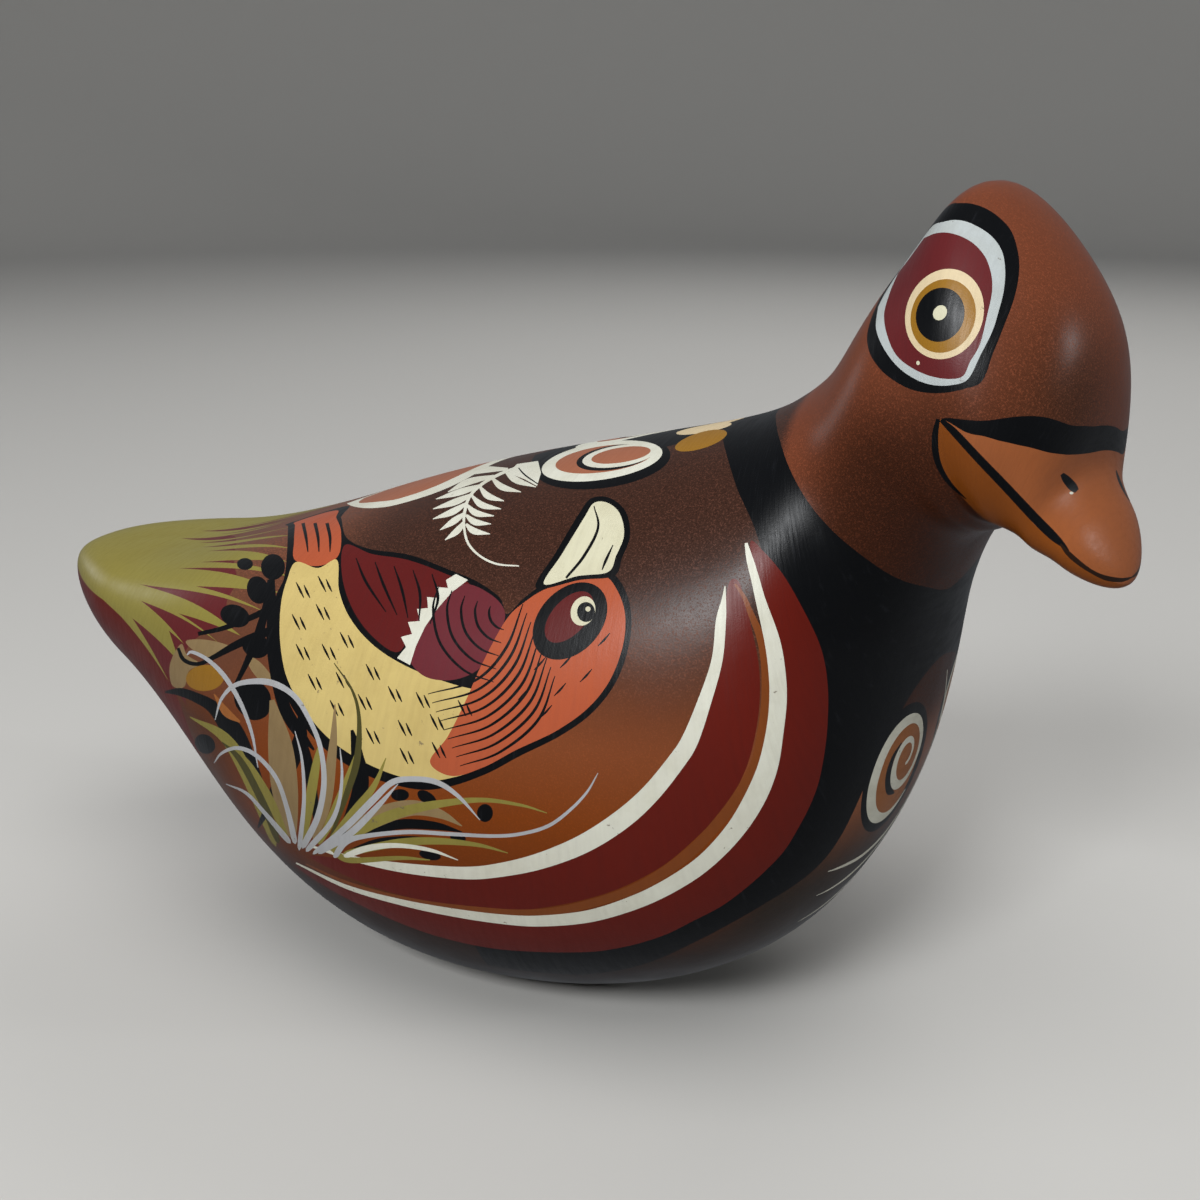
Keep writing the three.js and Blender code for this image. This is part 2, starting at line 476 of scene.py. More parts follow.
def paint_tail():
    edge = curve_places([(0.0, 1.42), (0.5, 1.5), (1.0, 1.5), (1.49, 1.53), (1.85, 1.68), (2.11, 1.84),
        (2.3, 2.15), (2.36, 2.6), (2.38, math.pi)])
    field(RED, edge + [(0.0, math.pi)])
    under = curve_places([(1.3, 0.0), (1.6, 0.13), (2.0, 0.5), (2.26, 0.78), (2.47, 0.97), (2.5, 1.12),
        (2.56, 1.26), (2.37, 1.41), (2.25, 1.6), (2.3, 1.9)])
    field(MAROON, [(0.9, 0.0)] + under + [(1.3, 1.55)])
    fringe = [(1.3, 0.0), (1.95, 0.03), (1.05, 0.1), (2.37, 0.33), (1.31, 0.2), (2.56, 0.52), (1.5, 0.36),
        (2.72, 0.68), (1.71, 0.51), (2.79, 0.79), (1.87, 0.75), (2.95, 0.89), (1.69, 0.83), (2.92, 0.99),
        (2.1, 1.06), (2.88, 1.11), (1.42, 1.11), (2.77, 1.28), (2.07, 1.32), (2.59, 1.38), (1.55, 1.31),
        (2.23, 1.51), (2.02, 1.48), (2.21, 1.65), (1.49, 1.53), (2.06, 1.86), (1.31, 1.58), (1.0, 1.5),
        (0.5, 1.49), (0.0, 1.42), (0.0, 0.0)]
    field(OLIVE, fringe)


def paint_crescents():
    outer_red = [(750, 543), (765, 553), (784, 576), (803, 609), (818, 640), (825, 664), (828, 690),
        (828, 714), (826, 742), (820, 777), (812, 801), (800, 825), (784, 851), (763, 873), (741, 892),
        (720, 907), (693, 921), (667, 934), (640, 943), (613, 949), (587, 952), (540, 952), (490, 948),
        (440, 937), (395, 921), (350, 900), (318, 882), (296, 865), (347, 888), (400, 902), (500, 919),
        (590, 915), (676, 880), (735, 828), (768, 764), (777, 700), (771, 640), (760, 600)]
    area(RED, outer_red, both_sides=True)
    inner_red = [(730, 581), (739, 582), (746, 606), (752, 630), (758, 659), (760, 684), (759, 710),
        (755, 736), (749, 760), (741, 780), (731, 800), (717, 817), (693, 841), (667, 863), (640, 879),
        (613, 891), (587, 899), (560, 905), (520, 910), (470, 908), (425, 901), (380, 889), (340, 873),
        (310, 856), (357, 861), (464, 874), (560, 858), (640, 806), (690, 742), (717, 664), (725, 604)]
    area(RED, inner_red, both_sides=True)
    border = [(735, 584, 2), (744, 597, 4), (751, 614, 6), (760, 636, 8), (765, 660, 9), (766, 684, 9),
        (765, 710, 9), (761, 736, 9), (756, 762, 10), (746, 783, 11), (729, 809, 11), (701, 842, 11),
        (673, 866, 11), (644, 884, 10), (610, 898, 9), (562, 910, 8), (520, 913, 7), (470, 909, 6),
        (425, 903, 5), (380, 893, 4), (340, 880, 3), (306, 864, 1)]
    stroke(LINE, border, both_sides=True)
    inner_white = [(725, 586, 1), (723.8, 600, 4.5), (721, 620, 10), (717, 660, 11), (705, 700, 13.5),
        (690, 740, 17), (676, 762, 18), (650, 794, 19), (621, 820, 20), (583, 844, 19), (540, 861, 16.5),
        (500, 870, 14), (464, 873, 12.5), (408, 868.5, 10), (357, 859.5, 5.5), (312, 846.5, 2)]
    stroke(WHITE, inner_white, both_sides=True)
    outer_white = [(746, 543, 3), (750, 560, 7), (755.5, 580, 8.5), (760.5, 600, 10), (772, 640, 15.5),
        (777, 672, 17), (778, 700, 17.5), (775, 730, 17.5), (768, 766, 20), (755, 798, 21), (735, 830, 19),
        (707, 860, 17), (676, 882, 16), (638, 901, 14.5), (590, 916, 12.5), (540, 921, 11), (500, 919, 9.5),
        (450, 912, 8), (400, 902, 6), (347, 887, 4), (296, 863, 1.5)]
    stroke(WHITE, outer_white, both_sides=True)


def paint_collar():
    front = curve_places([(6.36, 0.0), (6.5, 0.15), (6.9, 0.42), (7.29, 0.69), (7.86, 1.16), (8.32, 1.66),
        (8.58, 2.16), (8.62, 2.75), (8.5, math.pi)])
    low = curve_places([(6.2, math.pi), (5.8, 2.75), (5.4, 2.5), (5.0, 2.42), (4.5, 2.38)])
    rear = curve_places([(4.5, 2.2), (5.3, 2.1), (5.9, 2.02), (6.3, 2.05), (6.7, 2.05), (6.95, 2.0),
        (7.12, 1.85), (7.2, 1.64), (7.1, 1.33), (6.79, 0.93), (6.27, 0.57), (5.76, 0.2), (5.62, 0.0)])
    field(BLACK, front + low + rear)
    patch = curve_places([(4.6, 2.46), (5.2, 2.38), (5.68, 2.28), (6.09, 2.3), (6.56, 2.47), (6.99, 2.55),
        (7.17, 2.62), (7.4, 2.72), (7.58, 2.85), (7.72, 3.0), (7.82, 3.22), (7.76, 3.42), (7.62, 3.6),
        (7.45, 3.72), (7.17, 3.86), (6.99, 3.9), (6.56, 3.92), (6.09, 4.03), (5.68, 4.0), (5.2, 3.9),
        (4.6, 3.82)])
    field(BARE, patch, both_sides=False)


def swirl(place, side):
    """A white spiral on ochre with a black border; side is -1 to mirror it."""
    turns = spline([(-45, 10.6, 0.5), (-75, 10.3, 1.3), (-120, 9.6, 2.4), (-180, 9.0, 3.0),
        (-235, 9.2, 2.6), (-290, 8.8, 1.9), (-340, 7.6, 1.5), (-400, 6.2, 1.5), (-450, 5.4, 1.8),
        (-500, 4.8, 2.1), (-560, 4.4, 1.9), (-620, 4.0, 1.4), (-680, 3.2, 1.0), (-740, 2.0, 0.9),
        (-790, 1.2, 0.6)], 12)
    angle = np.radians(turns[:, 0])
    inward = np.clip((-turns[:, 0] - 180) / 240, 0, 1)
    path = np.stack([turns[:, 1] * np.cos(angle) + 2.6 * inward, turns[:, 1] * np.sin(angle) + 1.2 * inward,
        turns[:, 2]], 1)
    shade = [(-0.6, 5.6, 0.4), (-3.2, 3.4, 1.5), (-3.9, 0.2, 2.0), (-2.2, -3.4, 1.8), (0.8, -5.4, 0.4)]
    mirror = (side, 1)
    decal(BLACK, place, ellipse((0, 0), (12.2, 12.8), 0, DETAIL_STEP) * mirror)
    decal(NUT, place, ellipse((0, 0), (9.4, 10.0), 0, DETAIL_STEP) * mirror)
    decal(BLACK, place, ribbon(shade, DETAIL_STEP) * mirror)
    decal(WHITE, place, ribbon(path, DETAIL_STEP) * mirror)


def paint_chest():
    near_spiral, far_spiral = (7.16, 2.91), (7.16, 3.74)
    swirl(near_spiral, 1)
    swirl(far_spiral, -1)
    upper_curl = [(7.62, 3.42, 0.3), (7.32, 3.47, 0.5), (7.06, 3.41, 0.7), (6.85, 3.28, 0.9),
        (6.69, 3.14, 1.2), (6.6, 2.9, 1.1), (6.54, 2.7, 0.8), (6.48, 2.56, 0.2)]
    trail(WHITE, upper_curl)
    middle_curl = [(6.98, 3.52, 0.2), (6.8, 3.33, 0.5), (6.6, 3.12, 0.9), (6.45, 2.87, 1.0),
        (6.31, 2.62, 0.2)]
    trail(WHITE, middle_curl)
    lower_curl = [(6.7, 3.4, 0.2), (6.5, 3.16, 0.8), (6.32, 2.96, 1.3), (6.2, 2.83, 1.0), (6.09, 2.7, 0.2)]
    trail(WHITE, lower_curl)


def paint_eye():
    rim = [(955, 203), (973, 204), (992, 212), (1010, 229), (1018, 252), (1019, 274), (1014, 299),
        (1004, 326), (992, 356), (984, 377), (967, 388), (943, 393), (921, 392), (903, 386), (884, 373),
        (871, 356), (867, 338), (871, 319), (880, 298)]
    rim_behind = [(10.34, 0.44), (10.7, 0.33), (11.2, 0.29), (11.55, 0.34)]
    area(BLACK, rim, both_sides=True, beyond=rim_behind)
    ring = [(938, 223), (955, 220), (970, 223), (989, 234), (1001, 249), (1005, 267), (1004, 289),
        (999, 310), (992, 332), (980, 356), (968, 379), (952, 385), (933, 385), (915, 379), (897, 366),
        (883, 347), (876, 328), (878, 307)]
    ring_behind = [(10.34, 0.58), (10.6, 0.46), (10.95, 0.41), (11.3, 0.44)]
    area(EYE_WHITE, ring, both_sides=True, beyond=ring_behind)
    patch = [(924, 238), (937, 233), (952, 233.5), (970, 241), (984, 255), (991, 273), (992, 292),
        (987, 316), (980, 344), (970, 362), (963, 376), (949, 379), (930, 376), (912, 368), (897, 356),
        (888, 338), (884, 316), (889, 295), (898, 273)]
    patch_behind = [(10.78, 0.49), (11.02, 0.48)]
    area(MAROON, patch, both_sides=True, beyond=patch_behind)
    iris = [(CREAM, (944.5, 314), (38.5, 46), 20), (OCHRE, (943.2, 316), (32, 37.5), 20),
        (EVEN_BLACK, (940.2, 314.8), (24, 27.5), 20), (PALE, (940, 312.8), (6.6, 8), 35)]
    ovals(iris, both_sides=True)
    speck = (PALE, (918, 363), (1.8, 2.2), 0)
    ovals([speck])
    corner = [(968, 387, 2), (978, 383, 3), (985, 376, 1)]
    stroke(BLACK, corner)


def paint_bill():
    corner = (12.12, 1.62)
    brow_top = curve_places([corner, (12.7, 1.5), (13.38, 1.3), (14.05, 1.0), (14.68, 0.59), (14.95, 0.25),
        (15.05, 0.0), (15.1, -0.3), (15.08, -0.58), (14.8, -0.85), (14.3, -1.1), (13.5, -1.35),
        (12.8, -1.52), (12.12, -1.62)])
    brow_low = curve_places([(12.12, -1.62), (12.8, -1.57), (13.4, -1.47), (14.2, -1.3), (14.9, -1.05),
        (15.4, -0.85), (15.56, -0.55), (15.58, -0.2), (15.5, 0.15), (15.24, 0.5), (14.75, 0.9),
        (14.18, 1.2), (13.7, 1.36), (13.23, 1.46), (12.75, 1.56), corner])
    jaw = curve_places([(13.15, math.pi), (13.0, 2.65), (12.6, 2.3), (12.23, 2.16), (11.95, 2.04),
        (11.77, 1.88), (11.85, 1.73), corner])
    bill = curve_places([corner, (13.23, 1.4), (14.18, 1.12), (15.0, 0.7), (15.3, 0.4), (15.35, 0.0)])
    field(BILL_TOP, bill + [(LAST, 0.0), (LAST, math.pi)] + jaw)
    gape = curve_places([corner, (12.85, 1.6), (13.8, 1.62), (15.1, 1.46), (16.0, 1.4), (16.9, 1.3),
        (17.4, 1.3), (LAST, 1.3)])
    field(BILL_LOW, gape + [(LAST, math.pi)] + jaw)
    field(BLACK, brow_top + brow_low, both_sides=False)
    jaw_line = [(938, 419, 4), (935, 436, 6.5), (936, 455, 6.5), (941, 470, 5.5), (951, 485, 4),
        (966, 499, 1)]
    stroke(BLACK, jaw_line, both_sides=True)
    mouth_line = [(941, 420, 4), (954, 432, 7.5), (979, 459, 8.5), (1004, 485, 9), (1034, 517, 9.5),
        (1052, 535, 9), (1063, 545, 5), (1069, 551, 1)]
    stroke(BLACK, mouth_line, both_sides=True)
    worn_edge = [(16.9, 1.32, 0.3), (17.2, 1.36, 0.8), (17.6, 1.36, 0.6), (17.8, 1.25, 0.8),
        (17.92, 0.95, 0.7), (17.96, 0.5, 0.5), (17.97, 0.0, 0.2)]
    trail(BILL_WORN, worn_edge, both_sides=True)
    near_nostril = [(1062, 474, 4), (1066, 479, 8), (1073, 487, 9), (1077, 491, 5)]
    stroke(BLACK, near_nostril)
    far_nostril = [(16.1, -0.56, 0.5), (16.36, -0.61, 1.9), (16.66, -0.68, 1.9), (16.9, -0.76, 0.5)]
    trail(BLACK, far_nostril)
    glint = (WHITE, (1071.5, 493), (2, 1.4), 0)
    ovals([glint])


def paint_back():
    leaf_rim = [(352, 506), (364, 508), (385, 507), (410, 501), (440, 491), (468, 478)]
    leaf = [(360, 503), (386, 501), (408, 496), (436, 486), (460, 475)]
    field(WHITE, curve_places([(2.46, 0.0), *on_skin(leaf_rim).tolist(), (3.64, 0.0)]))
    field(SALMON, curve_places([(2.6, 0.0), *on_skin(leaf).tolist(), (3.5, 0.0)]))
    bridge = curve_places([(3.95, 0.0), (4.1, 0.14), (4.5, 0.2), (5.0, 0.2), (5.4, 0.16), (5.7, 0.1)])
    field(BLACK, bridge + [(5.7, 0.0)])
    rings = [(BLACK, (603, 463), (68, 25), -8), (WHITE, (602, 461), (61, 18.5), -9),
        (SALMON, (604, 459), (49, 13), -8), (BLACK, (614, 457.5), (38, 12), -9),
        (WHITE, (619, 456), (37, 10.5), -9), (SALMON, (621, 455), (30, 7.5), -9)]
    petals = [(CREAM, (704, 428.5), (28, 4), -10), (OCHRE, (701, 440.5), (27, 8), -17)]
    ovals(rings + petals, both_sides=True)
    bud = [(517, 464), (538, 461), (541, 473), (537, 486), (524, 479), (508, 473)]
    area(WHITE, bud, smooth=False)
    bud_line = [(517, 466, 1), (525, 475, 1.6), (538, 484, 1)]
    stroke(BLACK, bud_line)


def paint_fern():
    spine = [(520, 466, 2), (500, 474, 3), (482, 484, 3), (470, 496, 3), (465, 510, 3), (464, 526, 2.5),
        (468, 543, 2.4), (480, 556, 2.2), (497, 564, 2), (519, 566, 1.2)]
    stroke(WHITE, spine)
    left = [((508, 469), (482, 470), (462, 476)), ((494, 476), (468, 482), (448, 492)),
        ((482, 485), (460, 492), (436, 499)), ((473, 494), (455, 502), (433, 509)),
        ((467, 503), (452, 512), (433, 519)), ((465, 513), (454, 521), (440, 530)),
        ((464, 522), (457, 531), (445, 540))]
    right = [((505, 471), (516, 480), (536, 487)), ((492, 478), (502, 487), (521, 492)),
        ((480, 487), (488, 496), (504, 501)), ((472, 496), (482, 505), (501, 509)),
        ((467, 505), (476, 513), (494, 516)), ((466, 515), (475, 522), (491, 524)),
        ((466, 524), (474, 531), (490, 534))]
    for start, middle, end in left + right:
        stroke(WHITE, [(*start, 2.5), (*middle, 6.5), (*end, 0.8)])


def paint_little_bird():
    """A plain folk bird on the flank: yellow belly, orange head and breast, plum wing, cream crest."""
    paint_bird_body()
    paint_bird_feathers()
    paint_bird_crest()
    face = [(EVEN_BLACK, (570, 621), (31, 44), 42), (WINE, (569, 617), (17, 31), 42),
        (PALE, (583, 611), (12, 15), 20), (BLACK, (586, 612), (9, 10), 0),
        (PALE, (588, 609), (2.6, 2.6), 0)]
    ovals(face)


def paint_bird_body():
    outline = [(341, 517), (347, 538), (370, 549), (410, 555), (450, 570), (478, 582), (500, 598),
        (507, 614), (524, 598), (545, 584), (575, 576), (605, 570), (622, 584), (631, 612), (629, 645),
        (616, 682), (592, 713), (560, 736), (520, 756), (486, 774), (448, 787), (414, 789), (366, 775),
        (325, 749), (298, 717), (280, 681), (273, 640), (275, 600), (284, 578), (287, 552), (288, 526)]
    outline_behind = [(2.12, 0.15), (2.36, 0.09), (2.66, 0.16)]
    area(BLACK, outline, beyond=outline_behind)
    tail = [(336, 517), (341, 532), (338, 556), (318, 566), (295, 560), (294, 542), (295, 525)]
    tail_behind = [(2.22, 0.18), (2.4, 0.14), (2.62, 0.21)]
    area(ORANGE, tail, beyond=tail_behind)
    belly = [(296, 562), (318, 568), (337, 560), (339, 590), (350, 618), (372, 644), (402, 664), (440, 680),
        (478, 690), (512, 692), (505, 730), (480, 766), (446, 779), (414, 780), (372, 766), (333, 742),
        (306, 712), (287, 678), (280, 640), (281, 604), (287, 580)]
    area(YELLOW, belly)
    wing = [(345, 545), (372, 554), (408, 560), (446, 574), (470, 586), (440, 606), (415, 626), (398, 652),
        (372, 636), (352, 608), (342, 575)]
    area(WINE, wing)
    shoulder = [(462, 584), (490, 594), (505, 613), (497, 640), (480, 668), (452, 680), (424, 676),
        (408, 656), (412, 628), (432, 602)]
    area(PLUM, shoulder)
    head = [(506, 620), (526, 601), (548, 588), (578, 580), (604, 576), (617, 590), (625, 614), (623, 645),
        (610, 680), (588, 708), (556, 731), (516, 750), (484, 767), (452, 776), (430, 762), (448, 736),
        (466, 700), (482, 664)]
    area(ORANGE, head)
    wing_fringe = [(456, 574), (446, 580), (448, 588), (437, 587), (438, 598), (427, 597), (428, 608),
        (417, 609), (420, 621), (408, 622), (412, 634), (401, 637), (406, 647), (397, 658), (410, 665),
        (416, 646), (425, 627), (438, 608), (452, 592), (468, 580)]
    area(WHITE, wing_fringe, smooth=False)


def paint_bird_feathers():
    for k in range(5):
        feather = [(356 + 19 * k, 558 + 4 * k, 1), (366 + 18 * k, 582 + 4 * k, 2.8),
            (386 + 11 * k, 612 + 3 * k, 1)]
        stroke(BLACK, feather)
    tip_x, tip_y = 507, 613
    for radius in (18, 32, 46, 60, 74):
        arc = [(tip_x + radius * math.cos(turn), tip_y + 0.95 * radius * math.sin(turn), width)
               for turn, width in ((1.75, 0.8), (2.2, 2.4), (2.7, 2.8), (3.2, 2.4), (3.55, 0.8))]
        stroke(BLACK, arc)
    for k in range(9):
        breast_feather = [(523 + 4 * k, 604 + 9 * k, 1), (506 + 4 * k, 648 + 9 * k, 3),
            (476 + 3 * k, 680 + 9 * k, 2.6), (428 + 4 * k, 694 + 9 * k, 0.8)]
        stroke(BLACK, breast_feather)
    for k in range(3):
        tail_feather = [(303 + 12 * k, 523, 3.5), (306 + 12 * k, 537, 3), (308 + 11 * k, 552, 1)]
        stroke(BLACK, tail_feather)
    ticks = [(300, 590), (322, 584), (296, 622), (320, 612), (344, 640), (300, 652), (326, 652), (312, 682),
        (340, 680), (370, 672), (334, 708), (362, 702), (392, 694), (420, 700), (370, 736), (402, 728),
        (434, 722), (404, 756), (436, 750), (462, 708)]
    for x, y in ticks:
        stroke(BLACK, [(x - 4, y - 8, 0.8), (x, y, 2.4), (x + 4, y + 8, 0.8)])
        stroke(BLACK, [(x + 4, y - 5, 0.8), (x + 7, y + 2, 2.4), (x + 10, y + 8, 0.8)])
    breast_ticks = [(560, 690), (586, 676), (540, 664), (566, 662), (604, 640), (524, 694),
        (546, 712), (600, 610)]
    for x, y in breast_ticks:
        stroke(BLACK, [(x - 6, y + 6, 0.8), (x, y, 2.2), (x + 6, y - 7, 0.8)])


def paint_bird_crest():
    crest_border = [(536, 588), (556, 552), (580, 512), (592, 498), (610, 498), (626, 512), (630, 536),
        (622, 558), (614, 576), (580, 580)]
    area(BLACK, crest_border)
    crest = [(544, 584), (562, 554), (584, 518), (594, 503), (608, 503), (620, 514), (624, 535), (616, 556),
        (608, 572), (578, 576)]
    area(PALE, crest)
    crest_fold = [(594, 506, 1), (598, 528, 2.6), (584, 556, 3), (566, 578, 2.4)]
    stroke(BLACK, crest_fold)
    crest_mark = [(613, 545, 1), (606, 560, 2.8), (602, 570, 1)]
    stroke(BLACK, crest_mark)


def paint_twigs():
    berries = [((245, 564), (8, 6), 0), ((273, 567), (12, 13), 0), ((258, 590), (11, 14), -15),
        ((235, 616), (15, 11), 20), ((205, 744), (11, 9), 40), ((427, 798), (11, 6), 35),
        ((485, 813), (8, 9), 0), ((430, 855), (11, 5), 12), ((458, 838), (8, 4), 10),
        ((400, 795), (9, 6), 0)]
    ovals([(BLACK, *berry) for berry in berries])
    low_leaf = [(181, 644), (170, 664), (172, 685), (184, 687), (189, 671), (200, 664), (187, 655)]
    top_leaf = [(186, 641), (208, 640), (232, 648), (214, 658), (196, 652)]
    small_leaf = [(248, 656), (262, 664), (276, 684), (262, 682), (250, 668)]
    for leaf in (low_leaf, top_leaf, small_leaf):
        area(TAN, leaf)
    fruit = (OCHRE, (205, 678), (19, 13), -5)
    ovals([fruit])
    curl = [(178, 648, 3), (184, 660, 4), (198, 664, 4), (214, 657, 5), (238, 644, 8), (262, 634, 9),
        (282, 626, 5)]
    side_stem = [(198, 634, 4), (224, 628, 5), (250, 618, 6), (275, 606, 7)]
    front_stem = [(232, 692, 3), (246, 664, 6), (258, 636, 9), (266, 606, 7), (270, 580, 5)]
    trunk = [(272, 560, 3), (272, 600, 8), (272, 650, 10), (282, 700, 12), (296, 728, 12), (314, 750, 2)]
    for stem in (curl, side_stem, front_stem, trunk):
        stroke(BLACK, stem)
    knot = (BLACK, (256, 646), (14, 12), 20)
    ovals([knot])
    root = [(165, 692, 2), (180, 692, 8), (197, 698, 10), (214, 708, 13), (232, 730, 20), (250, 760, 12),
        (266, 800, 5)]
    stroke(BLACK, root)
    dark_leaf = [(236, 684), (256, 680), (270, 694), (268, 714), (252, 720), (236, 706)]
    area(BLACK, dark_leaf)
    vein = [(214, 694, 1), (226, 712, 8), (240, 722, 2)]
    stroke(NUT, vein)


def paint_grass():
    blades = [
        (BLADE, [(271, 834, 7), (246, 772, 13), (224, 737, 10), (190, 717, 1)]),
        (BLACK, [(262, 820, 5), (282, 780, 16), (300, 740, 14), (300, 712, 3)]),
        (TAN, [(291, 830, 12), (285, 790, 26), (280, 745, 24), (272, 700, 5)]),
        (BLACK, [(318, 826, 5), (312, 790, 10), (306, 752, 8), (292, 716, 2)]),
        (OLIVE_DARK, [(276, 836, 6), (262, 800, 8), (240, 760, 6), (222, 742, 1)]),
        (BLADE, [(284, 832, 6), (270, 800, 8), (252, 768, 5), (240, 752, 1)]),
        (BLACK, [(340, 838, 6), (360, 790, 16), (357, 754, 12), (352, 730, 3)]),
        (BLADE, [(304, 836, 6), (310, 800, 10), (316, 765, 8), (320, 742, 1)]),
        (TAN, [(316, 834, 6), (326, 800, 12), (333, 745, 8), (335, 704, 1)]),
        (BLADE, [(322, 838, 6), (338, 806, 11), (350, 775, 8), (362, 738, 1)]),
        (OLIVE_DARK, [(332, 834, 3), (346, 796, 6), (357, 760, 7), (359, 718, 4), (352, 690, 2.5),
            (334, 663, 1)]),
        (BLADE, [(330, 842, 6), (354, 812, 9), (374, 786, 6), (386, 758, 1)]),
        (BLACK, [(352, 838, 4), (380, 829, 8), (404, 824, 10), (436, 826, 8), (462, 832, 1)]),
        (TAN, [(338, 846, 6), (372, 820, 18), (410, 808, 16), (440, 814, 9), (462, 826, 1)]),
        (BLADE, [(338, 845, 6), (380, 820, 11), (422, 807, 9), (478, 800, 5), (520, 805, 3),
            (547, 813, 0.8)]),
        (BLACK, [(352, 850, 3), (376, 842, 6), (404, 838, 4), (430, 838, 1)]),
        (BLADE, [(352, 852, 6), (397, 843, 8), (436, 841, 7), (478, 845, 4), (508, 853, 0.8)]),
        (BLADE, [(334, 850, 5), (350, 860, 6), (400, 858, 4), (430, 860, 1)]),
        (LILAC, [(318, 850, 6), (344, 829, 8), (372, 801, 9), (391, 783, 8), (410, 779, 7), (436, 782, 7),
            (458, 796, 5), (480, 820, 1)]),
        (LILAC, [(310, 847, 7), (330, 824, 7), (339, 802, 5), (342, 774, 3.5), (340, 748, 1)]),
        (LILAC, [(324, 850, 7), (352, 832, 9), (378, 806, 7), (398, 784, 1)]),
        (LILAC, [(305, 843, 8), (318, 816, 8), (324, 782, 7), (320, 746, 6), (307, 715, 6), (292, 694, 7),
            (268, 682, 8), (238, 684, 6), (222, 698, 4), (215, 720, 1)]),
        (LILAC, [(294, 838, 7), (287, 808, 6), (276, 778, 5.5), (257, 756, 5.5), (238, 748, 5),
            (222, 753, 3.5), (214, 763, 1)]),
        (LILAC, [(286, 838, 7), (263, 811, 5), (246, 793, 4), (226, 784, 1)]),
        (LILAC, [(257, 762, 1.5), (252, 734, 4), (241, 704, 5.5), (225, 677, 6), (208, 660, 5),
            (192, 652, 4), (187, 655, 1.5)]),
        (LILAC, [(300, 842, 6), (304, 800, 5), (302, 760, 3.5), (295, 731, 1)]),
        (LILAC, [(336, 855, 7), (346, 842, 8), (366, 836, 6), (408, 832, 5.5), (450, 834, 5),
            (492, 836, 4.5), (520, 834, 4.5), (548, 826, 4.5), (570, 810, 4), (587, 792, 3),
            (598, 773, 1)]),
        (WHITE, [(348, 855, 7), (369, 848, 8), (397, 845.5, 6), (430, 850, 4.5), (458, 860, 1)]),
    ]
    for paint, points in blades:
        (x0, y0, _), (x1, y1, _) = points[:2]
        root = (x0 - 0.2 * (x1 - x0), y0 - 0.2 * (y1 - y0), 1)
        slim = 0.78 if paint in (LILAC, WHITE) else 1.0
        points = [(x, y, width * slim) for x, y, width in [root] + points]
        stroke(paint, points)


def paint_all():
    paint_collar()
    paint_chest()
    paint_crescents()
    paint_back()
    paint_tail()
    paint_fern()
    paint_twigs()
    paint_little_bird()
    paint_grass()
    paint_bill()
    paint_eye()


# Sprayed ground colour, blended from the height on the body and the place along the bird, with painted
# shade above the bill and a throat darker partly by painted shade

BODY_GROUND = [(0.0, (18, 8, 3)), (0.022, (36, 16, 5)), (0.036, (92, 40, 3)), (0.054, (108, 50, 8)),
               (0.068, (110, 58, 30)), (0.08, (78, 44, 28)), (0.092, (50, 30, 22)), (0.16, (46, 28, 21))]
TAIL_GROUND = (88, 53, 37)
RUMP_GROUND = (72, 36, 14)
HEAD_GROUND = (97, 51, 32)
# Painted shade on the head just above the bill
HEAD_PAINTED_SHADE = (62, 34, 20)
# Throat under the head and bill: partly its own darker brown, partly painted shade
THROAT_DARK_AND_SHADE = (44, 19, 6)
CHEST_TOP = (132, 78, 48)
CHEST_LOW = (40, 29, 20)
# Pixel at the middle of the painted shade above the bill
BROW_SHADE_PIXEL = (1072, 402)


def mix(low, high, share):
    return low + (high - low) * share[:, None]


def ground_colour(places, points):
    """Colour of the sprayed ground, with painted shade above the bill and partly on the throat, and the
    strength of its specks.
    """
    along, angle, height = places[:, 0], np.abs(places[:, 1]), points[:, 2]
    heights = [level for level, _ in BODY_GROUND]
    tones = linear([tone for _, tone in BODY_GROUND])
    body = np.stack([np.interp(height, heights, tones[:, k]) for k in range(3)], 1)
    body = mix(body, linear(TAIL_GROUND), smoother(3.6, 2.6, along) * smoother(0.05, 0.075, height))
    body = mix(body, linear(RUMP_GROUND), smoother(3.4, 2.4, along) * smoother(0.07, 0.05, height))
    chest = mix(linear(CHEST_LOW), linear(CHEST_TOP), smoother(0.035, 0.066, height))
    body = mix(body, chest, smoother(2.1, 2.35, angle) * smoother(5.0, 6.2, along))
    # Darker throat under the head and bill, partly its own colour and partly painted shade
    below = smoother(0.5, 1.9, angle) * smoother(0.142, 0.116, height)
    # Painted shade on the head just above the bill, fading out round the brow pixel
    brow = surface(*surface_place(BROW_SHADE_PIXEL))
    shade_above_bill = np.exp(-((points - brow) ** 2).sum(1) / 0.014 ** 2)
    head = mix(linear(HEAD_GROUND), linear(THROAT_DARK_AND_SHADE), 0.9 * below)
    head = mix(head, linear(HEAD_PAINTED_SHADE), shade_above_bill)
    on_head = smoother(7.0, 7.6, along)
    specks = 0.12 + 0.88 * smoother(0.072, 0.094, height)
    specks += (0.25 + 0.5 * shade_above_bill + 0.5 * below - specks) * on_head
    return mix(body, head, on_head), specks


# The painted skin: a triangle mesh whose edges follow every outline of the paint

RING_STEP = 0.0012
ANGLE_STEPS = 150
DOMAIN_RADIUS = 0.034
MERGE_FLAT = 1e-7
MERGE_POINTS = 2e-6


def ring_places():
    """Evenly spaced rings, and the table that turns along into a length on the skin."""
    dense = np.linspace(0, LAST, 4001)
    line = surface(dense, np.full_like(dense, 1.3))
    spine = surface(dense, np.zeros_like(dense))
    steps = [np.linalg.norm(np.diff(curve, axis=0), axis=1) for curve in (line, spine)]
    length = np.concatenate([[0], np.cumsum(np.maximum(*steps))])
    count = int(length[-1] / RING_STEP)
    return np.interp(np.linspace(0, length[-1], count), length, dense), dense, length


